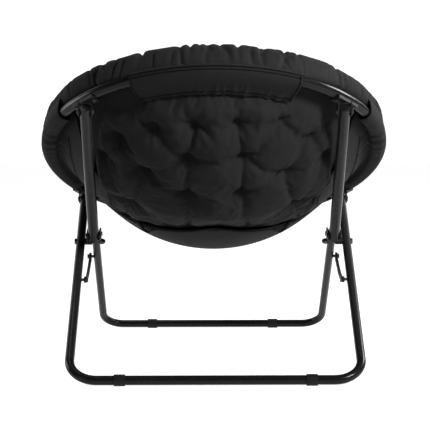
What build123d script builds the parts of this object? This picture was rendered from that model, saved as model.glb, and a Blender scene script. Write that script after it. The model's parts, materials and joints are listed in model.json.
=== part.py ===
from math import asin, atan2, cos, degrees, hypot, radians, sin, sqrt
import os

from build123d import *

os.makedirs("parts", exist_ok=True)

# Driving sizes, millimetres. The chair faces -Y, its back is towards +Y, the floor is Z = 0.
ring_radius = 387.0
ring_tube = 25.0
ring_tilt = 29.2
strut_tube = 25.0
outer_tube = 21.0
inner_tube = 19.0
wall = 1.5

# Half spacings of the leg frames and struts follow the hoop, each a set distance inside the one before.
outer_inset = 69.0
inner_inset = 36.5
strut_inset = 35.0
outer_half = ring_radius - outer_inset
inner_half = outer_half - inner_inset
strut_half = outer_half - strut_inset
rear_bar = 394.0
front_bar = 282.0
cross_height = 261.0
outer_bend = 62.0
inner_bend = 50.0
outer_above_cross = 165.0
inner_above_cross = 44.0

rear_drop = 33.0
front_drop = 30.0
strut_offset = 24.0
cheek = 3.0
side_play = 0.4
rivet = 8.0
running_fit = 0.05
bolt = 8.0
tip_past_pivot = 8.0
rivet_head = 2.5

roll_height = 40.0
roll_tall = 52.0
roll_wide = 37.0
roll_inset = 6.0
bowl_depth = 190.0
pouch_depth = 197.0
pouch_radius = 360.0
pouch_forward = 60.0
rim_inset = 15.0
bowl_rim = ring_radius - rim_inset
bowl_pad = 38.0
panel_line = -14.0
pocket_half_angle = 28.0
sleeve_from = 24.0
# Tuft places as shares of the bowl's rim radius, one side of the chair.
tufts = ((0.374, 0.726), (0.121, 0.796), (0.567, 0.565), (0.164, 0.591), (0.680, 0.384),
         (0.419, 0.425), (0.161, 0.339), (0.503, 0.067))
seat_tufts = ((0.349, 0.632), (0.121, 0.685), (0.538, 0.444), (0.161, 0.470), (0.403, 0.255),
              (0.161, 0.228), (0.511, 0.013), (0.188, -0.027), (0.403, -0.269), (0.134, -0.282),
              (0.242, -0.524))
tuft_ball = 22.0
tuft_depth = 9.0

saddle_length = 66.0
saddle_width = 24.0
saddle_low = 16.0
saddle_high = 9.0
saddle_bolt = 5.0
lug_radius = 11.0
spacer_wide = 16.0
sleeve_play = 0.8
sleeve_cloth = 1.6
pocket_cloth = 2.5
cord = 5.0

clip_width = 24.0
clip_grip = 2.4
clip_sole = 1.6
rear_clip_at = 207.0
front_clip_at = 156.0
stay_on_outer = 139.0
stay_on_inner = 64.0
stay_thick = 6.0
stud = 7.0
strip = 9.0
slot_width = 2.6


# Side view: pairs are (rearwards, up).
def add(p, q, k=1.0):
    return (p[0] + k * q[0], p[1] + k * q[1])


def dot(p, q):
    return p[0] * q[0] + p[1] * q[1]


def unit(p):
    return (p[0] / hypot(*p), p[1] / hypot(*p))


def quarter_turn(p):
    return (-p[1], p[0])


cross = (0.0, cross_height)
outer_down = unit((rear_bar, outer_tube / 2 - cross_height))
inner_down = unit((-front_bar, inner_tube / 2 - cross_height))
outer_length = hypot(rear_bar, cross_height - outer_tube / 2)
inner_length = hypot(front_bar, cross_height - inner_tube / 2)
inner_up = (-inner_down[0], -inner_down[1])
inner_side = quarter_turn(inner_down)

tilt = radians(ring_tilt)
ring_back = (cos(tilt), sin(tilt))
ring_up = (-sin(tilt), cos(tilt))
rear_reach = sqrt(ring_radius**2 - strut_half**2)
front_reach = sqrt(ring_radius**2 - outer_half**2)

front_pivot = add(cross, outer_down, -outer_above_cross)
ring_centre = add(add(front_pivot, ring_up, front_drop), ring_back, front_reach)
rear_pivot = add(add(ring_centre, ring_back, rear_reach), ring_up, -rear_drop)

# The strut's lower pivot is placed so that the strut reaches it both when open and when folded flat.
ring_arm = hypot(*add(rear_pivot, front_pivot, -1))
reach = sqrt(ring_arm**2 - strut_offset**2) - outer_above_cross
gap = add(add(rear_pivot, cross, -1), inner_side, -strut_offset)
strut_rise = (dot(gap, gap) - reach**2) / (2 * (reach + dot(gap, inner_up)))
strut_length = reach + strut_rise
strut_foot = add(add(cross, inner_up, strut_rise), inner_side, strut_offset)
strut_up = unit(add(rear_pivot, strut_foot, -1))


def at(x, p):
    return Vector(x, p[0], p[1])


def rod(p, q, d):
    return Solid.make_cylinder(d / 2, (q - p).length, Plane(origin=p, z_dir=q - p))


def cross_rod(x0, x1, p, d):
    return rod(at(min(x0, x1), p), at(max(x0, x1), p), d)


def pipe(path, d):
    end = Plane(origin=path @ 0, z_dir=path % 0)
    body = sweep(end * Circle(d / 2), path)
    return body - sweep(end * Circle(d / 2 - wall), path)


def leg_frame(half, top, down, length, bend, d):
    side = Plane(origin=at(0, cross), x_dir=(1, 0, 0), z_dir=Vector(1, 0, 0).cross(Vector(0, *down)))
    line = FilletPolyline((-half, -top), (-half, length), (half, length), (half, -top), radius=bend)
    return pipe(side * line, d)


def ring_local(shape):
    seat = Plane(origin=at(0, ring_centre), x_dir=(1, 0, 0), z_dir=Vector(0, *ring_up))
    return shape.moved(seat.location)


def turned(section, start, sweep_angle):
    return Rot(0, 0, start) * revolve(Plane.XZ * section, Axis.Z, sweep_angle)


def ring_angle(x, y):
    return degrees(atan2(y, x))


upright = (Align.CENTER, Align.CENTER, Align.MIN)
nodes = {}
sides = {"left": -1, "right": 1}

# Leg frames and the two tubes that carry the back of the ring.
outer_leg = leg_frame(outer_half, outer_above_cross + tip_past_pivot, outer_down, outer_length,
                      outer_bend, outer_tube)
inner_leg = leg_frame(inner_half, inner_above_cross, inner_down, inner_length, inner_bend, inner_tube)
outer_stud = add(cross, outer_down, stay_on_outer)
inner_stud = add(cross, inner_down, stay_on_inner)
inner_rivet = add(cross, inner_up, inner_above_cross - 12)

strut_gap = strut_tube / 2 + side_play
outer_gap = outer_tube / 2 + side_play
outer_face = outer_half - outer_tube / 2
inner_face = inner_half + inner_tube / 2
span = outer_half + outer_tube

outer_leg -= cross_rod(-span, span, cross, bolt)
outer_leg -= [cross_rod(s * (outer_half - outer_tube), s * outer_half, outer_stud, stud) for s in (-1, 1)]
inner_leg -= cross_rod(-span, span, cross, bolt + 2 * running_fit)
inner_leg -= [cross_rod(s * inner_half, s * span, inner_stud, stud) for s in (-1, 1)]
inner_leg -= cross_rod(-span, span, inner_rivet, 6)
nodes["outer_leg_tube"] = outer_leg
nodes["inner_leg_tube"] = inner_leg

strut_top = add(rear_pivot, strut_up, tip_past_pivot)
strut_end = add(strut_foot, strut_up, -tip_past_pivot)
for name, s in sides.items():
    x = s * strut_half
    strut = rod(at(x, strut_end), at(x, strut_top), strut_tube)
    strut -= rod(at(x, strut_end), at(x, strut_top), strut_tube - 2 * wall)
    for pivot in (rear_pivot, strut_foot):
        strut -= cross_rod(x - strut_tube, x + strut_tube, pivot, rivet + 2 * running_fit)
    nodes["strut_" + name] = strut

# Ring: two half hoops butted at the sides over inner sleeves held by screws.
hoop = Pos(ring_radius, 0) * (Circle(ring_tube / 2) - Circle(ring_tube / 2 - wall))
hoop_gap = degrees(0.4 / ring_radius)
nodes["ring_rear_half"] = turned(hoop, hoop_gap, 180 - 2 * hoop_gap)
nodes["ring_front_half"] = Rot(0, 0, 180) * nodes["ring_rear_half"]
joiner = Pos(ring_radius, 0) * (Circle(ring_tube / 2 - wall) - Circle(ring_tube / 2 - 2 * wall))
nodes["ring_joiners"] = Compound([turned(joiner, a - 6, 12) for a in (0, 180)])
screws = []
for a in (-3.5, 3.5, 176.5, 183.5):
    place = Rot(0, 0, a) * Pos(ring_radius, 0, ring_tube / 2 - 2 * wall - 0.5)
    screws.append(place * (Cylinder(2.2, 4, align=upright)
                           + Pos(0, 0, 3.5) * Cylinder(4, 1.2, align=upright)))
screw_holes = [Rot(0, 0, a) * Pos(ring_radius, 0, ring_tube / 2) * Cylinder(2.2, 12)
               for a in (-3.5, 3.5, 176.5, 183.5)]
for name in ("ring_rear_half", "ring_front_half", "ring_joiners"):
    nodes[name] = nodes[name] - screw_holes
screws = [screw - (nodes["ring_rear_half"] + nodes["ring_front_half"]) for screw in screws]
nodes["ring_joiner_screws"] = Compound(screws)

# Brackets under the ring: a saddle plate along the hoop and two cheeks across the pivot.
base_low, base_high, base_wide = -saddle_low, -saddle_high, saddle_width
hoop_solid = Torus(ring_radius, ring_tube / 2)


def ring_bracket(x, y, drop, half_gap, long):
    turn = ring_angle(x, y) + 90
    base = Pos(x, y, base_low) * Rot(0, 0, turn) * Box(long, base_wide, base_high - base_low, align=upright)
    plate = make_hull([(Pos(y, -drop) * Circle(lug_radius)).edge(),
                       *(Pos(y, base_low - 1) * Rectangle(2.7 * lug_radius, 2)).edges()])
    cheeks = [extrude(Plane(origin=(x + k * (half_gap + cheek / 2) - cheek / 2, 0, 0), x_dir=(0, 1, 0),
                            z_dir=(1, 0, 0)) * plate, cheek) for k in (-1, 1)]
    body = base + cheeks - hoop_solid
    body -= Pos(x, y, -drop) * Rot(0, 90, 0) * Cylinder(rivet / 2, 80)
    grip = long / 2 - 1.2 * saddle_bolt
    spots = [Pos(x, y, 0) * Rot(0, 0, turn) * Pos(k * grip, 0, 0) for k in (-1, 1)]
    return body, spots


ring_bolts, tapped = [], []
pins = {}
for name, s in sides.items():
    for place, x, y, drop, half_gap in (("rear", strut_half, rear_reach, rear_drop, strut_gap),
                                        ("front", outer_half, -front_reach, front_drop, outer_gap)):
        body, spots = ring_bracket(s * x, y, drop, half_gap, saddle_length)
        shank = Pos(0, 0, base_low) * Cylinder(saddle_bolt / 2, 11, align=upright)
        head = Pos(0, 0, base_low - 3.5) * extrude(RegularPolygon(0.9 * saddle_bolt, 6), 3.5)
        for spot in spots:
            body -= spot * shank
            tapped.append(spot * shank)
            ring_bolts.append(spot * (shank + head))
        nodes[f"{place}_ring_bracket_{name}"] = body
        reach_out = half_gap + cheek
        ends = [Pos(0, 0, k * (reach_out + rivet_head / 2)) * Cylinder(rivet * 0.8, rivet_head)
                for k in (-1, 1)]
        if place == "rear":
            pin = [Cylinder(rivet / 2, 2 * reach_out) + ends]
        else:
            pin = [end + Pos(0, 0, k * (reach_out - cheek / 2)) * Cylinder(rivet / 2, cheek)
                   for end, k in zip(ends, (-1, 1))]
        pins.setdefault(place, []).extend(Pos(s * x, y, -drop) * Rot(0, 90, 0) * p for p in pin)
for name in ("ring_rear_half", "ring_front_half"):
    nodes[name] = nodes[name] - tapped
nodes["ring_bracket_bolts"] = Compound(ring_bolts)
nodes["rear_pivot_rivets"] = Compound(pins["rear"])
nodes["front_pivot_rivets"] = Compound(pins["front"])

# Soft cover, drawn in the ring's own frame: centre of the hoop at the origin, Z out of the seat.
rim_rise = 20.0
roll_line = ring_radius - roll_inset
seat_depth = bowl_depth - bowl_pad
seat_rim = bowl_rim - 32


def dome_radius(rim, height):
    return (rim**2 + height**2) / (2 * height)


dome = dome_radius(bowl_rim, bowl_depth + rim_rise)
dome_centre = dome - bowl_depth
pouch_centre = pouch_radius - pouch_depth
seat_dome = dome_radius(seat_rim, seat_depth + 2 * rim_rise)
roll_section = Pos(roll_line, roll_height) * Ellipse(roll_wide / 2, roll_tall / 2)
nodes["rim_roll"] = turned(roll_section, 0, 360)
back_form = Pos(0, 0, dome_centre) * Sphere(dome)
pouch_form = Pos(0, -pouch_forward, pouch_centre) * Sphere(pouch_radius)


def bowl(outside_form):
    shell = outside_form & (Pos(0, 0, 2 * rim_rise - dome) * Cylinder(2 * dome, 2 * dome))
    shell -= Pos(0, 0, seat_dome - seat_depth) * Sphere(seat_dome)
    return shell - nodes["rim_roll"] - Torus(ring_radius, ring_tube / 2 + 1.5)


def tuft(x, y, inside=False):
    x, y = x * bowl_rim, y * bowl_rim
    radius, depth = (seat_dome, seat_dome - seat_depth) if inside else (dome, dome_centre)
    z = depth - sqrt(radius**2 - x * x - y * y)
    lift = (tuft_ball - tuft_depth) * (1 if inside else -1)
    out = Vector(x, y, z - depth).normalized() * (-lift)
    return Pos(x + out.X, y + out.Y, z + out.Z) * Sphere(tuft_ball)


def cut_tufts(shell, keep):
    shell -= [tuft(s * x, y) for x, y in tufts for s in (-1, 1)]
    shell -= [tuft(s * x, y, True) for x, y in seat_tufts for s in (-1, 1)]
    return split(shell, Plane(origin=(0, panel_line, 0), z_dir=(0, 1, 0)), keep=keep)


nodes["seat_back_cushion"] = cut_tufts(bowl(back_form), Keep.TOP)
belly = pouch_form & (Pos(0, 0, -dome) * Cylinder(2 * dome, 2 * dome))
nodes["seat_front_panel"] = cut_tufts(bowl(back_form + belly), Keep.BOTTOM)

outside = ring_radius + ring_tube / 2
pocket_line = [(outside - 4, ring_tube / 2 + 7.5), (outside + 1, ring_tube / 2), (outside + 2.5, 2),
               (outside + 1, -8), (outside - 6.5, -17), (bowl_rim, -24), (bowl_rim - 22, -29),
               (bowl_rim - 39, -37)]
with BuildSketch() as pocket_section:
    with BuildLine():
        Spline(*pocket_line)
    trace(line_width=pocket_cloth)
pocket = turned(pocket_section.sketch, 90 - pocket_half_angle, 2 * pocket_half_angle)
cushion = nodes["seat_back_cushion"]
nodes["rear_pocket"] = (pocket - cushion - hoop_solid - nodes["rim_roll"]).solids().sort_by(SortBy.VOLUME)[-1]

sleeve_tube = ring_tube / 2 + sleeve_play
band = make_hull([*(Pos(ring_radius, 0) * Circle(sleeve_tube + sleeve_cloth)).edges(),
                  *(Pos(ring_radius, roll_height - ring_tube / 2) * Circle(sleeve_tube + 1)).edges()])
band -= Pos(ring_radius, 0) * Circle(sleeve_tube)
band -= roll_section
front_at = -ring_angle(outer_half, front_reach)
slot = degrees((saddle_length / 2 + 8) / ring_radius)
spans = {"side_sleeve_right": (front_at + slot, sleeve_from - front_at - slot),
         "side_sleeve_left": (180 - sleeve_from, sleeve_from - front_at - slot),
         "front_sleeve": (180 - front_at + slot, 180 + 2 * (front_at - slot))}
for name, (start, arc) in spans.items():
    sleeve = turned(band, start, arc) - cushion - nodes["seat_front_panel"]
    sleeve -= screws
    nodes[name] = sleeve.solids().sort_by(SortBy.VOLUME)[-1]

cord_y = panel_line - 9
cords = []
for s in (-1, 1):
    xs = [s * k * bowl_rim for k in (0.376, 0.444, 0.511)]
    pts = []
    for i, x in enumerate(xs):
        z = min(dome_centre - sqrt(dome**2 - x * x - cord_y**2),
                pouch_centre - sqrt(pouch_radius**2 - x * x - (cord_y + pouch_forward)**2))
        pts.append((x, cord_y - 4 * i, z - cord * (0.64, 1.4, 0.64)[i]))
    path = Spline(*pts)
    cord_end = sweep(Plane(origin=path @ 0, z_dir=path % 0) * Circle(cord / 2), path)
    cords.append(cord_end - nodes["seat_front_panel"])
nodes["elastic_cords"] = Compound([c.solids().sort_by(SortBy.VOLUME)[-1] for c in cords])

on_ring = ("ring_", "rear_ring", "front_ring", "rear_pivot", "front_pivot", "rim_roll", "seat_",
           "rear_pocket", "side_sleeve", "front_sleeve", "elastic")
for name in list(nodes):
    if name.startswith(on_ring):
        nodes[name] = ring_local(nodes[name])

# Fittings on the leg frames.
bolts, spacers, cap_nuts, stay_studs, stay_nuts, catch_studs = [], [], [], [], [], []
lug_rivets, outer_plugs, inner_plugs, strut_plugs = [], [], [], {}
stay_x = (outer_face + inner_face) / 2
stay_in, stay_out = stay_x - stay_thick / 2, stay_x + stay_thick / 2
for name, s in sides.items():
    tip = s * (outer_half + outer_tube / 2)
    inside = s * (inner_half - inner_tube / 2)
    tube_bite = rod(at(s * outer_half, add(cross, outer_down, -outer_tube)),
                    at(s * outer_half, add(cross, outer_down, outer_tube)), outer_tube)
    bolts.append(cross_rod(tip, inside - s * 9, cross, bolt)
                 + (cross_rod(tip - s * 2.5, tip + s * 4, cross, 14) - tube_bite))
    spacer = cross_rod(s * (inner_face + 0.3), s * outer_half, cross, spacer_wide)
    spacer -= cross_rod(s * inner_half, s * outer_half, cross, bolt)
    spacers.append(spacer - tube_bite)
    nut = cross_rod(inside - s * 0.4, inside - s * 7, cross, 14)
    nut += Solid.make_sphere(6.2, Plane(at(inside - s * 7, cross)), -90, 90, 360)
    cap_nuts.append(nut - cross_rod(inside, inside - s * 9, cross, bolt))

    stay_studs.append(cross_rod(s * (stay_in - 3.9), s * (outer_face + wall), outer_stud, stud))
    lock = cross_rod(s * (stay_in - 3.9), s * (stay_in - 0.4), outer_stud, 13)
    stay_nuts.append(lock - cross_rod(s * (stay_in - 9), s * outer_half, outer_stud, stud))
    post = cross_rod(s * (inner_face - wall), s * (stay_out + 3.5), inner_stud, stud)
    catch_studs.append(post + cross_rod(s * (stay_out + 0.6), s * (stay_out + 3.5), inner_stud, 12))

    lug_x = [s * strut_half + k * (strut_gap + cheek / 2) for k in (-1, 1)]
    lugs = []
    outline = make_hull([*(Pos(strut_foot[0], strut_foot[1]) * Circle(12)).edges(),
                         *(Pos(inner_rivet[0], inner_rivet[1]) * Circle(9)).edges(),
                         *(Pos(*add(inner_rivet, inner_up, 10)) * Circle(9)).edges()])
    for x in lug_x:
        face_plane = Plane(origin=(x - cheek / 2, 0, 0), x_dir=(0, 1, 0), z_dir=(1, 0, 0))
        lugs.append(extrude(face_plane * outline, cheek))
    low, high = min(lug_x) - cheek / 2, max(lug_x) + cheek / 2
    fill = [cross_rod(low + cheek, s * inner_half, inner_rivet, 14),
            cross_rod(s * inner_half, high - cheek, inner_rivet, 14)]
    bracket = lugs[0] + lugs[1] + fill - cross_rod(low - 1, high + 1, inner_rivet, 6)
    bracket -= rod(at(s * inner_half, add(inner_rivet, inner_up, -30)),
                   at(s * inner_half, add(inner_rivet, inner_up, 30)), inner_tube)
    bracket -= cross_rod(low - 1, low + cheek, strut_foot, rivet)
    bracket -= cross_rod(high - cheek, high + 1, strut_foot, rivet)
    nodes["inner_leg_bracket_" + name] = bracket
    lug_rivets.append(cross_rod(low, high, inner_rivet, 6)
                      + [cross_rod(low - rivet_head, low, inner_rivet, 11),
                         cross_rod(high, high + rivet_head, inner_rivet, 11)])
    lug_rivets.append(cross_rod(low, high, strut_foot, rivet)
                      + [cross_rod(low - rivet_head, low, strut_foot, rivet * 1.6),
                         cross_rod(high, high + rivet_head, strut_foot, rivet * 1.6)])

    for top, half, d, down, bag in ((outer_above_cross + tip_past_pivot, outer_half, outer_tube, outer_down,
                                     outer_plugs),
                                    (inner_above_cross, inner_half, inner_tube, inner_down, inner_plugs)):
        edge = add(cross, down, -top)
        plug = rod(at(s * half, add(edge, down, -1.8)), at(s * half, edge), d)
        plug += rod(at(s * half, edge), at(s * half, add(edge, down, 3.2)), d - 2 * wall)
        bag.append(plug)
    x, bore = s * strut_half, strut_tube - 2 * wall
    ends = [rod(at(x, e), at(x, add(e, strut_up, k * 1.8)), strut_tube)
            + rod(at(x, e), at(x, add(e, strut_up, -k * 3.0)), bore)
            for e, k in ((strut_top, 1), (strut_end, -1))]
    nodes[f"strut_plugs_{name}"] = Compound(ends)

nodes["cross_pivot_bolts"] = Compound(bolts)
nodes["cross_pivot_spacers"] = Compound(spacers)
nodes["cross_pivot_cap_nuts"] = Compound(cap_nuts)
nodes["stay_pivot_studs"] = Compound(stay_studs)
nodes["stay_pivot_nuts"] = Compound(stay_nuts)
nodes["stay_catch_studs"] = Compound(catch_studs)
nodes["inner_leg_rivets"] = Compound(lug_rivets)
nodes["outer_leg_plugs"] = Compound(outer_plugs)
nodes["inner_leg_plugs"] = Compound(inner_plugs)

# Stays: a bowed strip on the outer stud with a hook that catches the inner stud.
line = unit(add(inner_stud, outer_stud, -1))
away = quarter_turn(line)
if dot(away, add(cross, outer_stud, -1)) > 0:
    away = (-away[0], -away[1])
distance = hypot(*add(inner_stud, outer_stud, -1))
lane = stud / 2 + strip / 2 + 0.4


def on_stay(u, v):
    return add(add(outer_stud, line, u), away, v)


with BuildSketch() as stay_sketch:
    with BuildLine() as run:
        Spline((0, 0), (distance * 0.5, lane + 6), (distance - 8, lane), (distance + 7, lane - 0.2),
               tangents=((1, 0.35), (1, -0.05)))
    trace(line_width=strip)
    Circle(strip * 0.8)
    with Locations((distance + 7.5, 1.5)):
        Rectangle(6, 15)
    with Locations((0, 0)):
        Circle(stud / 2 + running_fit, mode=Mode.SUBTRACT)
    with BuildLine():
        Spline(*[run.edges()[0] @ t for t in (0.14, 0.3, 0.5, 0.7, 0.86)])
    trace(line_width=slot_width, mode=Mode.SUBTRACT)
for name, s in sides.items():
    flat = Plane(origin=at(s * stay_x, outer_stud), x_dir=Vector(0, *line),
                 z_dir=Vector(0, *line).cross(Vector(0, *away)))
    strip_body = extrude(flat * stay_sketch.sketch, stay_thick)
    shift = s * stay_x - strip_body.bounding_box().center().X
    nodes["stay_" + name] = Pos(shift, 0, 0) * strip_body


def clip(x, half_width, y, d):
    grip = d + 2 * clip_grip
    centre = Vector(x, y, d / 2)
    ends = [centre - Vector(half_width, 0, 0), centre + Vector(half_width, 0, 0)]
    flat = Pos(x, y, -clip_sole) * Box(3 * half_width, 3 * d, 3 * d, align=upright)
    return (rod(*ends, grip) - rod(*ends, d)) & flat


for place, x, y, d in (("rear", rear_clip_at, rear_bar, outer_tube),
                       ("front", front_clip_at, -front_bar, inner_tube)):
    nodes[place + "_floor_clips"] = Compound([clip(s * x, clip_width / 2, y, d) for s in (-1, 1)])

# Shared frame: centre of the box on the floor at the origin.
box = Compound([n for n in nodes.values()]).bounding_box()
shift = Vector(-box.center().X, -box.center().Y, -box.min.Z)
for name, shape in nodes.items():
    export_step(Pos(shift.X, shift.Y, shift.Z) * shape, f"parts/{name}.step")

for label, p in (("cross", cross), ("front_pivot", front_pivot), ("rear_pivot", rear_pivot),
                 ("strut_foot", strut_foot), ("outer_stud", outer_stud), ("ring_centre", ring_centre)):
    print(label, round(p[0] + shift.Y, 3), round(p[1] + shift.Z, 3))
print("nodes", len(nodes), "size", box.size, "strut", round(strut_length, 2), "rise", round(strut_rise, 2))
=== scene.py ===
import json
import math

import bpy
import numpy as np
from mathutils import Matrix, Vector


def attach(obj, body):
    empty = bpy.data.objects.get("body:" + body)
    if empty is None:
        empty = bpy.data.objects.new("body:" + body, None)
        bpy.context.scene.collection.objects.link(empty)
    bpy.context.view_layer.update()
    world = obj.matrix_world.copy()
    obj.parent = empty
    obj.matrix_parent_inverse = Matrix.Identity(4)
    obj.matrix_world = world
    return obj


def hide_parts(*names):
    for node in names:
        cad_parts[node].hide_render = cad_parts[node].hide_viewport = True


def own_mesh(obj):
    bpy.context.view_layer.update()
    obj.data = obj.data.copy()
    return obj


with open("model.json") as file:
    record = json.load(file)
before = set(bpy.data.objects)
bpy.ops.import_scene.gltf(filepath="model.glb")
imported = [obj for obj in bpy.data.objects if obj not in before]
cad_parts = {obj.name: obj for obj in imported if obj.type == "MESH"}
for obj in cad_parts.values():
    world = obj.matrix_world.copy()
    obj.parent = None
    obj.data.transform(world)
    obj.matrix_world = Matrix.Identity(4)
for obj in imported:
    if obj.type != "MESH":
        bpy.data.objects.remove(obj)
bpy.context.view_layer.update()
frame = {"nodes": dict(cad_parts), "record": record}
scene = bpy.context.scene
print("stage frame", len(frame["nodes"]))

# centre and lean of the seat ring, the radius of its tube's line and how far out the front brackets sit
ring = dict(y=0.002192, z=0.484915, tilt=math.radians(29.2), line=0.387, bracketHalf=0.318)


# ring coordinates run across the seat, up the seat and along the ring's own axis
def toWorld(points):
    p = np.asarray(points, dtype=float).reshape(-1, 3)
    c, s = math.cos(ring["tilt"]), math.sin(ring["tilt"])
    return np.stack([p[:, 0],
                     ring["y"] + p[:, 1] * c - p[:, 2] * s,
                     ring["z"] + p[:, 1] * s + p[:, 2] * c], 1)


def toRing(points):
    c, s = math.cos(ring["tilt"]), math.sin(ring["tilt"])
    return np.column_stack([points[:, 0], (points[:, 1] - ring["y"]) * c + (points[:, 2] - ring["z"]) * s])


def onAxis(height):
    return tuple(toWorld([(0, 0, height)])[0])


def polar(angle, rho, w):
    a = np.radians(angle)
    return np.stack(np.broadcast_arrays(rho * np.cos(a), rho * np.sin(a), w), -1)


def bell(x, width):
    return np.exp(-(x / width)**2)


def ease(x, start, end):
    return np.clip((x - start) / (end - start), 0, 1)


# eases in and out
def rounded(t):
    return t * t * (3 - 2 * t)


# degrees from the middle, the short way round
def turned(angle, middle):
    return (angle - middle + 180) % 360 - 180


def addPiece(name, data):
    piece = bpy.data.objects.new(name, data)
    scene.collection.objects.link(piece)
    return piece


def buildMesh(name, points, faces, uv):
    mesh = bpy.data.meshes.new(name)
    mesh.from_pydata([tuple(p) for p in points], [], [tuple(int(i) for i in f) for f in faces])
    mesh.validate()
    layer = mesh.uv_layers.new(name="uvMetres")
    loops = np.empty(len(mesh.loops), dtype=np.int32)
    mesh.loops.foreach_get("vertex_index", loops)
    layer.data.foreach_set("uv", np.asarray(uv, dtype=np.float32)[loops].ravel())
    for face in mesh.polygons:
        face.use_smooth = True
    return addPiece(name, mesh)


def gridFaces(rows, columns, closed=False):
    faces = []
    for i in range(rows - 1):
        for j in range(columns if closed else columns - 1):
            k = (j + 1) % columns
            faces.append((i * columns + j, i * columns + k, (i + 1) * columns + k, (i + 1) * columns + j))
    return faces


def pathLength(points):
    return np.concatenate([[0], np.cumsum(np.linalg.norm(np.diff(points, axis=0), axis=1))])


# an even run of points on a smooth curve through a few given ones
def smoothPath(points, count):
    p = np.asarray(points, dtype=float)
    t = pathLength(p)
    slopes = np.gradient(p, t, axis=0)
    out = []
    for s in np.linspace(0, t[-1], count):
        i = min(max(np.searchsorted(t, s) - 1, 0), len(t) - 2)
        h = t[i + 1] - t[i]
        x = (s - t[i]) / h
        out.append((2 * x**3 - 3 * x**2 + 1) * p[i] + (x**3 - 2 * x**2 + x) * h * slopes[i]
                   + (-2 * x**3 + 3 * x**2) * p[i + 1] + (x**3 - x**2) * h * slopes[i + 1])
    return np.array(out)


def modify(piece, kind, **values):
    item = piece.modifiers.new(kind.lower(), kind)
    for key, value in values.items():
        setattr(item, key, value)
    return item


# the evaluated mesh takes the place of the piece's modifiers
def applied(piece):
    graph = bpy.context.evaluated_depsgraph_get()
    mesh = bpy.data.meshes.new_from_object(piece.evaluated_get(graph))
    old = piece.data
    piece.modifiers.clear()
    piece.data = mesh
    mesh.name = piece.name
    bpy.data.meshes.remove(old)


class Sig:
    def __init__(self, tree, socket):
        self.tree, self.socket = tree, socket

    @staticmethod
    def make(tree, kind, settings=None, sockets=None, out=0):
        node = tree.nodes.new(kind)
        for key, value in (settings or {}).items():
            setattr(node, key, value)
        for key, value in (sockets or {}).items():
            if isinstance(value, Sig):
                tree.links.new(value.socket, node.inputs[key])
            else:
                node.inputs[key].default_value = value
        return Sig(tree, node.outputs[out])

    def beside(self, out):  # another output of the same node
        return Sig(self.tree, self.socket.node.outputs[out])

    def op(self, kind, *values):
        return Sig.make(self.tree, "ShaderNodeMath", {"operation": kind}, dict(enumerate(values)))

    def __add__(self, other):
        return self.op("ADD", self, other)

    def __radd__(self, other):
        return self.op("ADD", other, self)

    def __sub__(self, other):
        return self.op("SUBTRACT", self, other)

    def __rsub__(self, other):
        return self.op("SUBTRACT", other, self)

    def __mul__(self, other):
        return self.op("MULTIPLY", self, other)

    def __rmul__(self, other):
        return self.op("MULTIPLY", other, self)

    def ramp(self, low, high, toLow=0.0, toHigh=1.0):
        ends = {"Value": self, "From Min": low, "From Max": high, "To Min": toLow, "To Max": toHigh}
        return Sig.make(self.tree, "ShaderNodeMapRange", None, ends)

    def blend(self, first, second):
        first, second = (c if isinstance(c, Sig) else (*c, 1.0) for c in (first, second))
        mix = {0: self, 6: first, 7: second}  # Factor and the two colour sockets
        return Sig.make(self.tree, "ShaderNodeMix", {"data_type": "RGBA"}, mix, out=2)

    def noise(self, scale, detail, rough):
        sockets = {"Vector": self, "Scale": scale, "Detail": detail, "Roughness": rough}
        return Sig.make(self.tree, "ShaderNodeTexNoise", None, sockets)


# a plain weave: crossing threads that pass over and under by turns
def weave(tree, pitch):
    place = Sig.make(tree, "ShaderNodeUVMap", {"uv_map": "uvMetres"})
    u = Sig.make(tree, "ShaderNodeSeparateXYZ", None, {0: place})
    u, v = (s.op("SINE", s * (math.pi / pitch)) for s in (u, u.beside(1)))
    over = u.op("GREATER_THAN", u * v, 0.0)
    warp, weft = u.op("ABSOLUTE", u), v.op("ABSOLUTE", v)
    return weft + over * (warp - weft)


# what all finishes share
surface = dict(cloudDetail=5.0, cloudRough=0.55, cloudShare=0.6, grainDetail=3.0, grainRough=0.65,
               grainShare=0.4, span=(0.3, 0.7), threadShare=0.35, edge=(0.52, 0.6), rub=(0.45, 0.6))


def makeMaterial(name, v):
    material = bpy.data.materials.new(name)
    material.use_nodes = True
    tree = material.node_tree
    shader = tree.nodes["Principled BSDF"]
    for key, value in v["fixed"].items():
        shader.inputs[key].default_value = value
    place = Sig.make(tree, "ShaderNodeTexCoord", out="Object")
    cloud = place.noise(v["cloud"], surface["cloudDetail"], surface["cloudRough"])
    fine = place.noise(v["grain"], surface["grainDetail"], surface["grainRough"])
    colour = cloud.ramp(*surface["span"]).blend(v["dark"], v["light"])
    height = fine * v["grainHeight"]
    if "weave" in v:
        threads = weave(tree, v["weave"])
        colour = threads.ramp(0.0, 1.0, 0.0, surface["threadShare"]).blend(colour, v["thread"])
        height = height + threads * v["weaveHeight"]
    if "wear" in v:  # bright metal shows on rubbed edges
        edge = Sig.make(tree, "ShaderNodeNewGeometry", out="Pointiness").ramp(*surface["edge"])
        edge = edge * fine.ramp(*surface["rub"])
        colour = (edge * v["wear"]).blend(colour, v["bare"])
    rough = cloud * surface["cloudShare"] + fine * surface["grainShare"]
    rough = rough.ramp(*surface["span"], *v["rough"])
    bump = {"Strength": v["bump"], "Distance": v["depth"], "Height": height}
    normal = Sig.make(tree, "ShaderNodeBump", None, bump)
    for key, value in (("Base Color", colour), ("Roughness", rough), ("Normal", normal)):
        tree.links.new(value.socket, shader.inputs[key])
    return material


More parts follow.
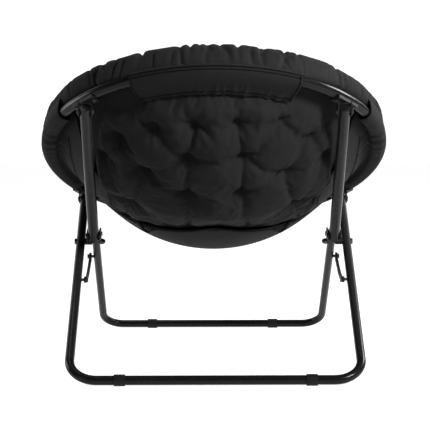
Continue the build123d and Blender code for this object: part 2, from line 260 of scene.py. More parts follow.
looks = {
    "powderCoat": dict(dark=(0.0055, 0.0055, 0.0059), light=(0.0085, 0.0085, 0.009), cloud=9.0, grain=1400.0,
                       grainHeight=1.0, rough=(0.17, 0.25), bump=0.12, depth=0.0002, wear=0.35,
                       bare=(0.1333, 0.1333, 0.1387), fixed={"Specular IOR Level": 0.14}),
    "mouldedPlastic": dict(dark=(0.0043, 0.0043, 0.0043), light=(0.008, 0.008, 0.008), cloud=20.0,
                           grain=2200.0, grainHeight=1.0, rough=(0.42, 0.58), bump=0.25, depth=0.00015,
                           fixed={"Specular IOR Level": 0.16}),
    "blackBracket": dict(dark=(0.0059, 0.0059, 0.0061), light=(0.0091, 0.0091, 0.0096), cloud=16.0,
                         grain=1500.0, grainHeight=1.0, rough=(0.45, 0.6), bump=0.15, depth=0.0002,
                         fixed={"Specular IOR Level": 0.16}),
    "darkSteel": dict(dark=(0.0213, 0.0213, 0.0227), light=(0.0533, 0.0533, 0.056), cloud=60.0, grain=1800.0,
                      grainHeight=1.0, rough=(0.25, 0.45), bump=0.1, depth=0.0001, wear=0.5,
                      bare=(0.2133, 0.2133, 0.224), fixed={"Metallic": 0.85}),
    "coverFabric": dict(dark=(0.0105, 0.0105, 0.0112), light=(0.0165, 0.0165, 0.0175), cloud=5.0, grain=420.0,
                        grainHeight=0.5, rough=(0.62, 0.78), bump=0.5, depth=0.0004, weave=0.0011,
                        weaveHeight=0.8, thread=(0.0245, 0.0245, 0.0261),
                        fixed={"Sheen Weight": 0.006, "Sheen Roughness": 0.4, "Specular IOR Level": 0.06}),
    "thread": dict(dark=(0.0018, 0.0018, 0.0018), light=(0.0036, 0.0036, 0.0036), cloud=80.0, grain=2500.0,
                   grainHeight=1.0, rough=(0.55, 0.7), bump=0.3, depth=0.0002,
                   fixed={"Specular IOR Level": 0.04}),
    "elasticBraid": dict(dark=(0.004, 0.004, 0.004), light=(0.008, 0.008, 0.008), cloud=90.0, grain=1500.0,
                         grainHeight=1.0, rough=(0.55, 0.75), bump=0.5, depth=0.0003,
                         fixed={"Specular IOR Level": 0.1}),
}
materials = {name: makeMaterial(name, values) for name, values in looks.items()}
bySlot = dict(frame_tube="powderCoat", bracket_steel="blackBracket", black_plastic="mouldedPlastic",
              fastener_steel="darkSteel", cover_fabric="coverFabric", elastic="elasticBraid")
slotOf = {s["node"]: s["material_slot"] for s in frame["record"]["subparts"]}
for node, piece in frame["nodes"].items():
    piece.data.materials.clear()
    piece.data.materials.append(materials[bySlot[slotOf[node]]])
print("stage materials", len(materials))


def dress(piece, look):
    piece.data.materials.clear()
    piece.data.materials.append(materials[look])
    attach(piece, "seat_ring")
    return piece


# the area of a thin cover's one face
def oneSide(piece):
    return round(sum(p.area for p in piece.data.polygons) / 2, 4)


# outer and inner domes, the rim that joins them, the puffs of the back, the seat side and the sewn slits
cushion = dict(rows=56, outRho=0.3665, outDome=0.43449, outCentre=0.24449, inRho=0.342, inDome=0.39704,
               inCentre=0.24504, rimRho=0.364, rimHeight=0.030, rimUv=0.39, inset=0.004, rimFade=0.02,
               seatFade=0.04, swell=0.017, sink=0.026, sinkReach=0.011, sinkStretch=1.9, valley=0.010,
               valleyReach=0.013, levelChannel=0.25, pleat=0.0011, pleatFolds=(5, 9), pleatAt=0.022,
               pleatWide=0.016, waves=((0.012, 11, 0), (0.010, 17, 1)), sideRise=0.024, rearRise=0.04,
               rearFrom=35, rearTo=145, rearTurn=34.4, lowFrom=-0.03, lowTo=0.06, lowLeast=0.15,
               seatSwell=0.010, seatSink=0.018, seatSinkReach=0.02, sewn=0.006, loose=0.004, jitter=0.0005,
               slit=0.008, slitTall=0.0042, slitHalf=0.026, slitLean=0.12, slitBow=(1.0, 4.0), crease=0.0035,
               creaseWide=0.005, pinchFrom=0.006, pinchFull=0.026, outFacing=0.2, seed=7)
cloth = dict(frames=22, grow=-0.045, pressure=3.0, cap=0.016, quality=6, mass=0.25, stiffness=18, shear=6,
             bending=0.35, airDamping=2.5)
# sewn points of the back, in mm across and up the seat, and the channels from one to another
tufts = [(-143, 270), (-46, 288), (45, 287), (135, 265), (-208, 210), (-61, 222), (62, 219), (215, 210),
         (-253, 143), (-155, 156), (157, 160), (253, 140), (-60, 129), (60, 123), (-184, 24), (191, 25)]
valleys = [(0, 1), (1, 2), (2, 3), (1, 5), (2, 6), (5, 6), (0, 4), (3, 7), (4, 8), (5, 9), (6, 10), (9, 12),
           (10, 13), (5, 12), (6, 13), (12, 13), (9, 14), (10, 15), (7, 11), (8, 14), (11, 15), (0, 5),
           (3, 6), (4, 9), (7, 10)]
lowValleys = [((-60, 129), (-78, -20)), ((60, 123), (58, -20)),
              ((-184, 24), (-200, -60)), ((191, 25), (205, -60))]
seatTufts = [(130, 235), (45, 255), (200, 165), (60, 175), (150, 95), (60, 85), (190, 5), (70, -10),
             (150, -100), (50, -105), (90, -195)]
# how far out the puffs reach, by the angle up from straight across
puffEdge = dict(angle=[-90, -60, -45, -37, -33, -31, -29.5, -27, -20, -13, -8, -2, 13, 26, 40, 51, 63, 90],
                rho=[0.014, 0.018, 0.026, 0.036, 0.05, 0.1, 0.19, 0.272, 0.27, 0.262, 0.257, 0.255, 0.272,
                     0.298, 0.324, 0.338, 0.343, 0.343])


def puffReach(angle):
    return np.interp(angle, puffEdge["angle"], puffEdge["rho"])


def puffReachAt(flat):
    return puffReach(np.degrees(np.arctan2(flat[:, 1], np.abs(flat[:, 0]))))


# a disc of even triangles, six more points in each row than in the last
def discRows(rows):
    points, faces, starts = [(0.0, 0.0)], [], [0]
    for k in range(1, rows + 1):
        starts.append(len(points))
        for j in range(6 * k):
            a = 2 * math.pi * j / (6 * k)
            points.append((k / rows * math.cos(a), k / rows * math.sin(a)))
    for k in range(1, rows + 1):
        inner, outer = max(6 * (k - 1), 1), 6 * k
        i = 0
        for j in range(outer):
            a, b = starts[k] + j, starts[k] + (j + 1) % outer
            c = starts[k - 1] + i % inner
            faces.append((a, b, c))
            if k > 1 and (j + 1) % k != 0:
                faces.append((b, starts[k - 1] + (i + 1) % inner, c))
                i += 1
    return np.array(points), faces, starts


def segmentDistance(points, a, b):
    a, b = np.array(a) / 1000, np.array(b) / 1000
    t = np.clip(((points - a) @ (b - a)) / ((b - a) @ (b - a)), 0, 1)
    return np.linalg.norm(points - a - t[:, None] * (b - a), axis=1)


# channels that run across the seat are shallower than those that run down it
def channels(flat, shape):
    deepest = np.zeros(len(flat))
    for a, b in [(tufts[a], tufts[b]) for a, b in valleys] + lowValleys:
        run = abs(a[1] - b[1]) / math.hypot(a[0] - b[0], a[1] - b[1])
        weight = cushion["levelChannel"] + (1 - cushion["levelChannel"]) * run
        deepest = np.maximum(deepest, weight * shape(segmentDistance(flat, a, b)))
    return deepest


def pillowHeight(flat):
    v = cushion
    near = np.full(len(flat), 9.0)
    pleats = np.zeros(len(flat))
    rng = np.random.default_rng(v["seed"] + 1)
    for x, y in tufts:
        across, up = flat[:, 0] - x / 1000, flat[:, 1] - y / 1000
        near = np.minimum(near, np.hypot(across / v["sinkStretch"], up))
        around = bell(np.hypot(across, up) - v["pleatAt"], v["pleatWide"])
        for folds in v["pleatFolds"]:
            pleats += v["pleat"] * np.cos(folds * np.arctan2(up, across) + rng.uniform(0, 6.28)) * around
    channel = channels(flat, lambda d: np.exp(-d / v["valleyReach"]))
    rho = np.hypot(flat[:, 0], flat[:, 1])
    angle = np.arctan2(flat[:, 1], flat[:, 0])
    wavy = sum(high * np.sin(angle * count + start) for high, count, start in v["waves"])
    depth = puffReachAt(flat) * (1 + wavy) - rho
    height = v["swell"] - v["sink"] * np.exp(-near / v["sinkReach"]) - v["valley"] * channel + pleats
    height = height * np.maximum(ease(flat[:, 1], v["lowFrom"], v["lowTo"]), v["lowLeast"])
    # full and round at the sides, easing down towards the pocket
    degrees = np.degrees(angle)
    rear = ease(degrees, v["rearFrom"], v["rearFrom"] + v["rearTurn"])
    rear = rear * ease(-degrees, -v["rearTo"], v["rearTurn"] - v["rearTo"])
    side = np.sqrt(1 - (1 - ease(depth, 0, v["sideRise"]))**2)
    return height * ((1 - rear) * side + rear * rounded(ease(depth, 0, v["rearRise"]))), near, depth


def makeCushion():
    v = cushion
    disc, faces, starts = discRows(v["rows"])
    total = len(disc)
    out, top = disc * v["outRho"], disc * v["inRho"]
    outer = np.column_stack([out, v["outCentre"] - np.sqrt(v["outDome"]**2 - (out**2).sum(1))])
    inner = np.column_stack([top, v["inCentre"] - np.sqrt(v["inDome"]**2 - (top**2).sum(1))])
    outNormal = (outer - [0, 0, v["outCentre"]]) / v["outDome"]
    topNormal = ([0, 0, v["inCentre"]] - inner) / v["inDome"]
    rng = np.random.default_rng(v["seed"])
    # the back
    height, near, depth = pillowHeight(out)
    rimFade = ease(v["outRho"] - np.hypot(out[:, 0], out[:, 1]), 0, v["rimFade"])
    loose = depth > v["loose"]
    outer += outNormal * (height - v["inset"] * rimFade + loose * rng.normal(0, v["jitter"], total))[:, None]
    pin = np.where(loose & (near > v["sewn"]), 0.0, 1.0)
    # the seat side
    nearTop = np.full(total, 9.0)
    for x, y in seatTufts:
        for s in (-1, 1):
            nearTop = np.minimum(nearTop, np.hypot(top[:, 0] - s * x / 1000, top[:, 1] - y / 1000))
    seatFade = ease(v["inRho"] - np.hypot(top[:, 0], top[:, 1]), 0, v["seatFade"])
    lift = v["seatSwell"] - v["seatSink"] * bell(nearTop, v["seatSinkReach"])
    inner += topNormal * ((lift + rng.normal(0, v["jitter"], total)) * seatFade)[:, None]
    pinTop = np.where(nearTop < v["sewn"], 1.0, 0.0)
    pinTop[starts[-1]:] = 1.0
    # one row of points joins the two at the rim
    last = np.arange(starts[-1], total)
    count = len(last)
    rim = np.column_stack([disc[last] * v["rimRho"], np.full(count, v["rimHeight"])])
    allFaces = [f[::-1] for f in faces] + [tuple(i + total for i in f) for f in faces]
    for j in range(count):
        k = (j + 1) % count
        a, b, c, d = last[j], last[k], 2 * total + k, 2 * total + j
        allFaces += [(a, b, c, d), (d, c, b + total, a + total)]
    uv = np.vstack([out, top, disc[last] * v["rimUv"]])
    piece = buildMesh("seatCushion", toWorld(np.vstack([outer, inner, rim])), allFaces, uv)
    puff(piece, np.concatenate([pin, pinTop, np.ones(count)]))
    modify(piece, "SUBSURF", levels=1, render_levels=1)
    applied(piece)
    pinch(piece)
    return piece


# the sewn tufts draw the cloth into short slits, and the channels between them into creases
def pinch(piece):
    v = cushion
    points = np.array([p.co[:] for p in piece.data.vertices])
    normals = np.array([p.normal[:] for p in piece.data.vertices])
    flat = toRing(points)
    away = points - onAxis(v["outCentre"])
    away /= np.linalg.norm(away, axis=1)[:, None]
    inside = puffReachAt(flat) - np.hypot(flat[:, 0], flat[:, 1])
    reach = ease(inside, v["pinchFrom"], v["pinchFull"]) * ((normals * away).sum(1) > v["outFacing"])
    rng = np.random.default_rng(v["seed"] + 2)
    depth = np.zeros(len(points))
    for x, up in tufts:
        lean, bow = rng.normal(0, v["slitLean"]), rng.uniform(*v["slitBow"])
        across, rise = flat[:, 0] - x / 1000, flat[:, 1] - up / 1000
        rise = rise - lean * across + bow * across**2
        depth = np.maximum(depth, v["slit"] * bell(rise, v["slitTall"]) * bell(across, v["slitHalf"]))
    depth = np.maximum(depth, v["crease"] * channels(flat, lambda d: bell(d, v["creaseWide"])))
    piece.data.vertices.foreach_set("co", (points - away * (depth * reach)[:, None]).ravel())
    piece.data.update()


# the cloth grows a little and is blown up between the sewn points
def puff(piece, pins):
    v = cloth
    before = np.array([p.co[:] for p in piece.data.vertices])
    group = piece.vertex_groups.new(name="held")
    for i, weight in enumerate(pins):
        if weight > 0:
            group.add([i], float(weight), "REPLACE")
    settings = modify(piece, "CLOTH").settings
    settings.vertex_group_mass = "held"
    settings.quality = v["quality"]
    settings.mass = v["mass"]
    settings.tension_stiffness = settings.compression_stiffness = v["stiffness"]
    settings.shear_stiffness = v["shear"]
    settings.bending_stiffness = v["bending"]
    settings.air_damping = v["airDamping"]
    settings.shrink_min = v["grow"]
    settings.use_pressure = True
    settings.uniform_pressure_force = v["pressure"]
    settings.effector_weights.gravity = 0
    for step in range(1, v["frames"] + 1):
        scene.frame_set(step)
    applied(piece)
    scene.frame_set(1)
    move = np.array([p.co[:] for p in piece.data.vertices]) - before
    length = np.linalg.norm(move, axis=1)
    move *= np.minimum(1.0, v["cap"] / np.maximum(length, 1e-9))[:, None]
    piece.data.vertices.foreach_set("co", (before + move).ravel())
    piece.data.update()
    print("stage cloth", piece.name, round(float(length.max()), 4), round(float(np.median(length)), 4))


seat = dress(makeCushion(), "coverFabric")
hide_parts("seat_back_cushion")
print("stage cushion", len(seat.data.vertices))

# marks are the deepest puckers of the rim, by angle, depth and width
roll = dict(line=0.381, height=0.04, wide=0.0185, inner=0.031, tall=0.0262, around=720, section=44, lean=0.3,
            waves=((0.0009, 9, 1.0), (0.0007, 23, 0.0)), folds=120, foldWide=(0.3, 1.0),
            foldDeep=(0.002, 0.007), foldSlant=3.5, foldAt=(0.2, 0.9), foldReach=0.33, tucks=150,
            tuckWide=(0.25, 0.6), tuckDeep=(0.0012, 0.0034), tuckSlant=1.5, tuckFade=(0.15, 0.65),
            markFade=(0.125, 0.75), skirtOut=0.006, skirtDrop=0.017, skirtAt=(28, 34, 46),
            skirtShare=(1.0, 0.7, 0.1), seed=11,
            marks=((66, 0.005, 0.6), (82, 0.0065, 0.7), (85, 0.003, 0.5), (97, 0.0065, 0.8),
                   (104, 0.003, 0.6), (112.5, 0.006, 0.7), (117, 0.004, 0.6)))


def foldField(angle, across, count, seed, width, depth, slant):
    rng = np.random.default_rng(seed)
    out = np.zeros_like(angle * across)
    for _ in range(count):
        a, w = rng.uniform(0, 360), rng.uniform(*width)
        d, k, c = rng.uniform(*depth), rng.normal(0, slant), rng.uniform(*roll["foldAt"])
        out += d * bell(turned(angle, a + k * (across - 0.5)), w) * bell(across - c, roll["foldReach"])
    return out


def makeRoll():
    v = roll
    angle = np.linspace(0, 360, v["around"], endpoint=False)[None, :]
    turn = np.linspace(0, 2 * math.pi, v["section"], endpoint=False)[:, None]
    across = (np.sin(turn - v["lean"]) + 1) / 2
    dents = foldField(angle, across, v["folds"], v["seed"], v["foldWide"], v["foldDeep"], v["foldSlant"])
    swell = sum(high * np.sin(np.radians(angle) * count + start) for high, count, start in v["waves"])
    marks = sum(d * bell(turned(angle, a), w) for a, d, w in v["marks"])
    tucks = foldField(angle, across, v["tucks"], v["seed"] + 1, v["tuckWide"], v["tuckDeep"], v["tuckSlant"])
    tucks = tucks * (1 - ease(across, *v["tuckFade"]))
    inward = swell - dents - tucks - marks * ease(across, *v["markFade"])
    # the skirt comes down over the tube where the pocket is sewn on
    skirt = np.interp(np.abs(turned(angle, 90)), v["skirtAt"], v["skirtShare"])
    skirt = skirt * np.clip(-2 * np.sin(turn) * np.cos(turn), 0, 1)
    wide = np.where(np.cos(turn) > 0, v["wide"], v["inner"]) + inward
    rho = v["line"] + wide * np.cos(turn) + v["skirtOut"] * skirt
    w = v["height"] + (v["tall"] + inward) * np.sin(turn) - v["skirtDrop"] * skirt
    rows, columns = v["section"], v["around"]
    faces = gridFaces(rows, columns, True)
    for j in range(columns):
        k = (j + 1) % columns
        faces.append(((rows - 1) * columns + j, (rows - 1) * columns + k, k, j))
    uv = np.stack(np.broadcast_arrays(np.radians(angle) * v["line"], turn * v["tall"]), -1).reshape(-1, 2)
    return buildMesh("rimRoll", toWorld(polar(angle, rho, w)), faces, uv)


rimRoll = dress(makeRoll(), "coverFabric")
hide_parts("rim_roll")
print("stage roll")

# the line runs from the rim round the tube to the hem: out from the axis and along it
pocket = dict(topHalf=27.4, lowHalf=28.4, widens=0.2, columns=170, rows=40, thick=0.0014, gathers=34,
              gatherAt=(64, 116), gatherWide=(0.35, 0.8), gatherDeep=(0.0008, 0.0026), gatherLean=1.6,
              gatherReach=(0.25, 0.6), gatherIn=0.35, gatherDown=0.9, seamRows=(5, 8), seamDeep=0.003,
              seamWide=0.016, hemDeep=0.0012, hemRow=36, uvSize=(0.4, 0.085), flat=(0.41, 0.086), seed=5,
              line=[(0.3985, 0.0125), (0.4025, 0.0065), (0.4032, -0.001), (0.4005, -0.0095),
                    (0.392, -0.0170), (0.376, -0.0225), (0.358, -0.0255), (0.343, -0.0310)])


def pocketHalf(s):
    return pocket["topHalf"] + (pocket["lowHalf"] - pocket["topHalf"]) * ease(s, pocket["widens"], 1.0)


def makePocket():
    v = pocket
    line = smoothPath(v["line"], v["rows"])
    s = np.linspace(0, 1, v["rows"])[:, None]
    angle = 90 + pocketHalf(s) * np.linspace(-1, 1, v["columns"])[None, :]
    rng = np.random.default_rng(v["seed"])
    gather = np.zeros_like(angle)
    for _ in range(v["gathers"]):
        a, w, d = rng.uniform(*v["gatherAt"]), rng.uniform(*v["gatherWide"]), rng.uniform(*v["gatherDeep"])
        lean, reach = rng.normal(0, v["gatherLean"]), rng.uniform(*v["gatherReach"])
        gather += d * bell(angle - a - lean * (1 - s), w) * ease(s, 1 - reach, 1)
    groove = sum(v["seamDeep"] * bell(s - k / (v["rows"] - 1), v["seamWide"]) for k in v["seamRows"])
    hem = v["hemDeep"] * bell(s - v["hemRow"] / (v["rows"] - 1), v["seamWide"])
    rho = line[:, 0][:, None] - v["gatherIn"] * gather - groove
    w = line[:, 1][:, None] - v["gatherDown"] * gather + hem
    along, down = v["uvSize"]
    uv = np.stack(np.broadcast_arrays(np.radians(angle) * along, s * down), -1).reshape(-1, 2)
    piece = buildMesh("rearPocket", toWorld(polar(angle, rho, w)), gridFaces(v["rows"], v["columns"]), uv)
    modify(piece, "SOLIDIFY", thickness=v["thick"], offset=0.0)
    applied(piece)
    return piece


rearPocket = dress(makePocket(), "coverFabric")
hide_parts("rear_pocket")
print("stage pocket", oneSide(rearPocket))

# the sleeve wraps the tube and turns up inside it, and the hood is the smooth panel sewn to it
hood = dict(start=-210, end=30, columns=300, cornerColumns=36, corner=(-35, -23), rows=56, wrapRows=20,
            startRho=0.374, level=0.16, pouch=0.360, depth=0.197, forward=0.060, merge=0.02, mergeSink=0.01,
            lift=0.0025, mouthLift=0.008, mouthFrom=(11, 16), mouthTo=(16, 30), mouthAt=(13, 20, 30),
            mouthRho=(0.265, 0.302, 0.356), slip=0.012, slipAt=(24, 27), tuckAt=(-90, -31, -26, 8, 13),
            tuck=(0.006, 0.003, 0.02, 0.022, 0.004), pull=0.013, pullAt=-21, pullWide=6.0, thick=0.0016,
            pleats=34, pleatAt=(-8, 25), pleatWide=(0.3, 0.6), pleatDeep=(0.0013, 0.0032),
            pleatRow=(0.28, 0.5), pleatReach=0.13, pleatIn=0.3, sideAt=12, sideWide=13.0,
            bracketHalf=6.1, bracketRows=(9, 23), uvSize=(0.36, 0.3), uvHem=0.004,
            sleeveFlat=(1.68, 0.105), hoodFlat=(0.82, 0.56), seed=21,
            wrap=[(0.3965, 0.036), (0.4005, 0.022), (0.4025, 0.008), (0.4015, -0.006), (0.393, -0.0155),
                  (0.374, -0.0165)],
            turnUp=[(0.3725, -0.0135), (0.3714, -0.0095), (0.3712, -0.005), (0.3714, 0.0), (0.3726, 0.005),
                    (0.3752, 0.0105)])
sideSeam = dict(angle=[-22, -10, 0, 10, 18], rho=[0.334, 0.328, 0.330, 0.339, 0.352], deep=0.0018,
                wide=0.0035, fadeLow=(-26, -22), fadeHigh=(17, 20), offTube=0.372)


# the hem slips under the puffs, sideways in front and inwards at the sides
def hoodEdge(mirrored):
    v = hood
    slip = np.degrees(v["slip"] / puffReach(mirrored)) * ease(-mirrored, *v["slipAt"])
    tuck = np.interp(mirrored, v["tuckAt"], v["tuck"])
    mouth = np.interp(mirrored, v["mouthAt"], v["mouthRho"])
    return np.where(mirrored > v["mouthAt"][0], mouth, puffReach(mirrored - slip) - tuck)


# the cushion's dome behind and a deeper pouch in front, run together
def coverDepth(x, y):
    v = hood
    dome = cushion["outCentre"] - np.sqrt(cushion["outDome"]**2 - x * x - y * y)
    inside = np.maximum(v["pouch"]**2 - x * x - (y + v["forward"])**2, 1e-6)
    pouch = v["pouch"] - v["depth"] - np.sqrt(inside)
    gap = np.clip(0.5 + (pouch - dome) / v["merge"], 0, 1)
    return pouch * (1 - gap) + dome * gap - v["mergeSink"] * gap * (1 - gap)


def hoodAngles():
    v = hood
    corner = np.linspace(*v["corner"], v["cornerColumns"])  # the hem turns sharply here
    return np.unique(np.concatenate([np.linspace(v["start"], v["end"], v["columns"]), corner, -180 - corner]))


def makeHood():
    v = hood
    angle = hoodAngles()[None, :]
    columns = angle.shape[1]
    mirrored = np.where(angle < -90, -180 - angle, angle)
    wrap = smoothPath(v["wrap"], v["wrapRows"])
    s = np.linspace(0, 1, v["rows"] - v["wrapRows"] + 1)[1:, None]
    rho = v["startRho"] + (hoodEdge(mirrored) - v["startRho"]) * s
    mouth = (1 - ease(mirrored, *v["mouthTo"])) * ease(mirrored, *v["mouthFrom"])
    # beside the front opening the hem lies against the puffs
    pull = v["pull"] * bell(mirrored - v["pullAt"], v["pullWide"])
    lift = v["lift"] + ((v["mouthLift"] - v["lift"]) * mouth - pull) * s**3
    w = coverDepth(rho * np.cos(np.radians(angle)), rho * np.sin(np.radians(angle))) - lift
    share = rounded(ease(s, 0, v["level"]))  # leaves the tube level, then follows the bowl
    w = share * w + (1 - share) * np.minimum(w, v["wrap"][-1][1])
    rho = np.vstack([np.broadcast_to(wrap[:, 0][:, None], (v["wrapRows"], columns)), rho])
    w = np.vstack([np.broadcast_to(wrap[:, 1][:, None], (v["wrapRows"], columns)), w])
    depth = np.linspace(0, 1, v["rows"])[:, None]
    rng = np.random.default_rng(v["seed"])
    pleat = np.zeros((v["rows"], columns))
    for _ in range(v["pleats"]):
        at, wide = rng.uniform(*v["pleatAt"]), rng.uniform(*v["pleatWide"])
        deep, row = rng.uniform(*v["pleatDeep"]), rng.uniform(*v["pleatRow"])
        pleat += deep * bell(mirrored - at, wide) * bell(depth - row, v["pleatReach"])
    pleat = pleat * bell(mirrored - v["sideAt"], v["sideWide"])
    seamRho = np.interp(mirrored, sideSeam["angle"], sideSeam["rho"])
    inSeam = (1 - ease(mirrored, *sideSeam["fadeHigh"])) * ease(mirrored, *sideSeam["fadeLow"])
    groove = sideSeam["deep"] * bell(rho - seamRho, sideSeam["wide"]) * inSeam * (rho < sideSeam["offTube"])
    points = polar(angle, rho - v["pleatIn"] * pleat, w + pleat + groove).reshape(-1, 3)
    along, down = v["uvSize"]
    uv = np.stack(np.broadcast_arrays(np.radians(angle) * along, depth * down), -1).reshape(-1, 2)

    # openings leave the front brackets free
    bracketAt = math.degrees(math.acos(ring["bracketHalf"] / ring["line"]))
    atBracket = np.abs(mirrored[0] + bracketAt) < v["bracketHalf"]
    firstRow, lastRow = v["bracketRows"]
    first = (v["wrapRows"] - 1) * columns
    hoodFaces = [tuple(k - first for k in f) for f in gridFaces(v["rows"], columns)
                 if f[0] >= first and not (atBracket[f[0] % columns] and f[0] // columns < lastRow)]
    sleeveFaces = [f for f in gridFaces(v["wrapRows"] + len(v["turnUp"]), columns)
                   if not (atBracket[f[0] % columns] and f[0] // columns >= firstRow)]
    edge = first + columns
    hem = [polar(angle, r, h).reshape(-1, 3) for r, h in v["turnUp"]]
    hemUv = [uv[first:edge] + (0, v["uvHem"] * k) for k in range(1, len(hem) + 1)]
    sleevePoints, sleeveUv = np.vstack([points[:edge]] + hem), np.vstack([uv[:edge]] + hemUv)
    parts = (("frontSleeve", sleevePoints, sleeveFaces, sleeveUv),
             ("frontHood", points[first:], hoodFaces, uv[first:]))
    pieces = []
    for name, spots, faces, places in parts:
        piece = buildMesh(name, toWorld(spots), faces, places)
        modify(piece, "SOLIDIFY", thickness=v["thick"], offset=0.0)
        applied(piece)
        pieces.append(dress(piece, "coverFabric"))
    return pieces


frontSleeve, frontHood = makeHood()
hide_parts("side_sleeve_left", "side_sleeve_right", "front_sleeve")
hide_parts("seat_front_panel")
print("stage hood", oneSide(frontSleeve), oneSide(frontHood))

# sizes of one stitch and its row, and where the rows run
stitch = dict(gap=0.0060, length=0.0050, thickness=0.0014, lift=0.0018, step=0.003, middle=0.03, sink=0.004,
              seamSpan=(62.8, 117.2), hemSpan=(62.2, 117.8), acrossPoints=60, sideIn=0.7, sideFrom=7,
              sideSeamSpan=(-22, 18), sideSeamPoints=24, sideSeamIn=0.004, mouthSpan=(20, -88),
              mouthPoints=120, mouthIn=0.008)
bead = {"Segments": 6, "Rings": 4, "Radius": 1.0}


# beads laid end to end along a line, each turned along it
def stitchTree():
    tree = bpy.data.node_groups.new("stitchRow", "GeometryNodeTree")
    tree.interface.new_socket("Line", in_out="INPUT", socket_type="NodeSocketGeometry")
    for name in ("Gap", "Length", "Thickness"):
        tree.interface.new_socket(name, in_out="INPUT", socket_type="NodeSocketFloat")
    tree.interface.new_socket("Stitches", in_out="OUTPUT", socket_type="NodeSocketGeometry")
    line = Sig.make(tree, "NodeGroupInput", out="Line")
    gap, length, thickness = (line.beside(name) for name in ("Gap", "Length", "Thickness"))
    curve = Sig.make(tree, "GeometryNodeMeshToCurve", None, {"Mesh": line})
    spots = Sig.make(tree, "GeometryNodeCurveToPoints", {"mode": "LENGTH"}, {"Curve": curve, "Length": gap},
                     out="Points")
    along = spots.beside("Tangent")
    turn = Sig.make(tree, "FunctionNodeAlignRotationToVector", {"axis": "Z"}, {"Vector": along})
    size = Sig.make(tree, "ShaderNodeCombineXYZ", None, {"X": thickness, "Y": thickness, "Z": length * 0.5})
    thread = Sig.make(tree, "GeometryNodeMeshUVSphere", None, bead, out="Mesh")
    placed = {"Points": spots, "Instance": thread, "Rotation": turn, "Scale": size}
    placed = Sig.make(tree, "GeometryNodeInstanceOnPoints", None, placed)
    real = Sig.make(tree, "GeometryNodeRealizeInstances", None, {0: placed})
    sewn = {"Geometry": real, "Material": materials["thread"]}
    sewn = Sig.make(tree, "GeometryNodeSetMaterial", None, sewn)
    tree.links.new(sewn.socket, tree.nodes.new("NodeGroupOutput").inputs["Stitches"])
    return tree


# a path in ring coordinates, laid on the outer face of a cover
def seamOn(surface, path):
    world = toWorld(path)
    length = pathLength(world)
    steps = np.linspace(0, length[-1], max(int(length[-1] / stitch["step"]), 3))
    middle = Vector(onAxis(stitch["middle"]))
    out = []
    for spot in np.stack([np.interp(steps, length, world[:, i]) for i in range(3)], 1):
        _, near, normal, _ = surface.closest_point_on_mesh(Vector(spot))
        if normal.dot(near - middle) < 0:
            normal = -normal
        out.append(tuple(near + normal * stitch["lift"]))
    return out


def makeStitches(name, rows):
    points, edges = [], []
    for row in rows:
        first = len(points)
        points += row
        edges += [(first + i, first + i + 1) for i in range(len(row) - 1)]
    mesh = bpy.data.meshes.new(name)
    mesh.from_pydata(points, edges, [])
    piece = addPiece(name, mesh)
    sewing = modify(piece, "NODES", node_group=stitches)
    for item in stitches.interface.items_tree:
        if item.in_out == "INPUT" and item.name.lower() in stitch:
            sewing[item.identifier] = stitch[item.name.lower()]
    applied(piece)
    return dress(piece, "thread")


def hoodPath(angles, rho):
    flat = polar(np.asarray(angles), np.asarray(rho), 0.0)
    flat[:, 2] = coverDepth(flat[:, 0], flat[:, 1]) - stitch["sink"]
    return flat


stitches = stitchTree()
line = smoothPath(pocket["line"], pocket["rows"])
across = np.linspace(*stitch["seamSpan"], stitch["acrossPoints"])
rows = [seamOn(rearPocket, polar(across, *line[k])) for k in pocket["seamRows"]]
across = np.linspace(*stitch["hemSpan"], stitch["acrossPoints"])
rows.append(seamOn(rearPocket, polar(across, *line[pocket["hemRow"]])))
half = pocketHalf(np.linspace(0, 1, pocket["rows"])) - stitch["sideIn"]
for side in (-1, 1):
    rows.append(seamOn(rearPocket, polar(90 + side * half, line[:, 0], line[:, 1])[stitch["sideFrom"]:]))
pocketStitches = makeStitches("pocketStitches", rows)
rows = []
seamAt = np.linspace(*stitch["sideSeamSpan"], stitch["sideSeamPoints"])
hemAt = np.linspace(*stitch["mouthSpan"], stitch["mouthPoints"])
seamRho = np.interp(seamAt, sideSeam["angle"], sideSeam["rho"]) - stitch["sideSeamIn"]
hemRho = hoodEdge(hemAt) + stitch["mouthIn"]
for mirror in (lambda m: m, lambda m: -180 - m):  # one side, then the other
    rows.append(seamOn(frontHood, hoodPath(mirror(seamAt), seamRho)))
    rows.append(seamOn(frontHood, hoodPath(mirror(hemAt), hemRho)))
hoodStitches = makeStitches("hoodStitches", rows)
print("stage stitches", len(pocketStitches.data.vertices), len(hoodStitches.data.vertices))

# short ends of braid that leave the hem on either side, with a knot at each end
elastic = dict(inner=0.140, run=0.040, up=-0.075, sag=0.03, drop=0.006, clear=0.0025, radius=0.0032,
               braid=0.06, strands=2, twist=0.9, rows=40, around=14, knots=(4, 35), knot=0.5, knotWide=2.2,
               uvStep=(0.0013, 0.0011))


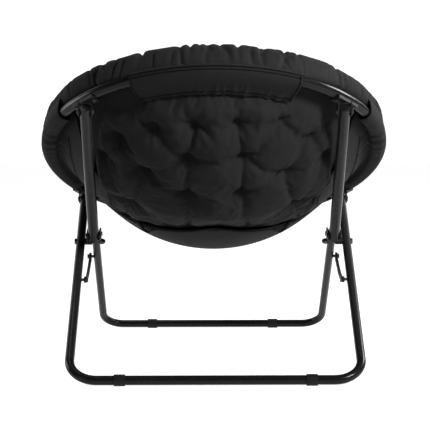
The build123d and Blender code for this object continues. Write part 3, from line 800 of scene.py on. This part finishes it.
def makeElastic():
    v = elastic
    points, faces, uv = [], [], []
    t = np.linspace(0, 1, v["rows"])
    for side in (-1, 1):
        x, y = side * (v["inner"] + v["run"] * t), v["up"] - v["sag"] * np.sin(math.pi * t)
        path = np.stack([x, y, coverDepth(x, y) - v["clear"] - v["drop"] * np.sin(math.pi * t)], 1)
        along = np.gradient(path, axis=0)
        along /= np.linalg.norm(along, axis=1)[:, None]
        right = np.cross(along, [0, 1, 0])
        right /= np.linalg.norm(right, axis=1)[:, None]
        up = np.cross(right, along)
        first = len(points)
        for i in range(v["rows"]):
            thick = v["radius"] * (1 + sum(v["knot"] * bell(i - k, v["knotWide"]) for k in v["knots"]))
            for j in range(v["around"]):
                a = 2 * math.pi * j / v["around"]
                r = thick * (1 + v["braid"] * math.sin(v["strands"] * a + i * v["twist"]))
                points.append(path[i] + r * (math.cos(a) * right[i] + math.sin(a) * up[i]))
                uv.append((i * v["uvStep"][0], j * v["uvStep"][1]))
        faces += [tuple(first + k for k in f) for f in gridFaces(v["rows"], v["around"], True)]
        faces.append(tuple(first + k for k in reversed(range(v["around"]))))
        faces.append(tuple(len(points) - v["around"] + k for k in range(v["around"])))
    piece = buildMesh("elasticEnds", toWorld(points), faces, uv)
    modify(piece, "SUBSURF", levels=1, render_levels=1)
    applied(piece)
    return piece


elasticEnds = dress(makeElastic(), "elasticBraid")
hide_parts("elastic_cords")
print("stage elastic")

# the bowl, its panel, the panel's stitches and the elastic each get a mesh of their own
for piece in (frontHood, hoodStitches, elasticEnds):
    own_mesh(piece)
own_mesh(seat)

# focal length and picture width in pixels, angles in radians
camera = dict(place=(0.04, 3.482, 0.7122), pitch=0.10938, yaw=0.01222, focal=1481.0, pixels=430.0,
              sensor=36.0)
lens = bpy.data.cameras.new("photoCamera")
lens.sensor_fit, lens.sensor_width = "HORIZONTAL", camera["sensor"]
lens.lens = camera["sensor"] * camera["focal"] / camera["pixels"]
eye = addPiece("photoCamera", lens)
eye.location = camera["place"]
eye.rotation_euler = (math.pi / 2 - camera["pitch"], 0.0, math.pi - camera["yaw"])
scene.camera = eye

lamps = dict(keyLight=dict(place=(-2.4, 2.4, 2.2), target=(0, 0.1, 0.45), size=0.8, power=170),
             fillLight=dict(place=(2.2, 2.4, 0.7), target=(0, 0, 0.4), size=1.0, power=5),
             leftEdge=dict(place=(2.6, -0.5, 0.9), target=(0, 0, 0.4), size=1.0, power=20),
             rightEdge=dict(place=(-2.3, -0.7, 1.7), target=(0, 0, 0.5), size=0.8, power=50),
             topLight=dict(place=(0.3, -0.6, 2.8), target=(0, 0, 0.5), size=1.4, power=24))
for name, v in lamps.items():
    data = bpy.data.lights.new(name, "AREA")
    data.size, data.energy = v["size"], v["power"]
    lamp = addPiece(name, data)
    lamp.location = v["place"]
    lamp.rotation_euler = (Vector(v["target"]) - Vector(v["place"])).to_track_quat("-Z", "Y").to_euler()

sky = dict(Color=(1.0, 1.0, 1.0, 1.0), Strength=0.06)
world = bpy.data.worlds.new("studio")
scene.world = world
world.use_nodes = True
for key, value in sky.items():
    world.node_tree.nodes["Background"].inputs[key].default_value = value
scene.view_settings.view_transform = "Standard"

planes = dict(paleFloor=dict(corners=[(-9, -6, 0), (9, -6, 0), (9, 6, 0), (-9, 6, 0)], glow=0.88),
              paleBackdrop=dict(corners=[(-9, -6, 0), (-9, -6, 7), (9, -6, 7), (9, -6, 0)], glow=1.0))
stageLook = dict(shade=(0.45, 0.45, 0.45, 1), rough=0.9, glowColour=(1, 1, 1, 1))


# pale to the camera and in reflections, without lighting the chair
def stagePlane(name, v):
    mesh = bpy.data.meshes.new(name)
    mesh.from_pydata(v["corners"], [], [(0, 1, 2, 3)])
    look = bpy.data.materials.new(name)
    look.use_nodes = True
    tree = look.node_tree
    shader = tree.nodes["Principled BSDF"]
    shader.inputs["Base Color"].default_value = stageLook["shade"]
    shader.inputs["Roughness"].default_value = stageLook["rough"]
    shader.inputs["Emission Color"].default_value = stageLook["glowColour"]
    seen = Sig.make(tree, "ShaderNodeLightPath", out="Is Camera Ray")
    seen = seen + seen.beside("Is Glossy Ray") + seen.beside("Is Transmission Ray")
    tree.links.new((seen * v["glow"]).socket, shader.inputs["Emission Strength"])
    mesh.materials.append(look)
    addPiece(name, mesh)


for name, v in planes.items():
    stagePlane(name, v)
print("stage light")
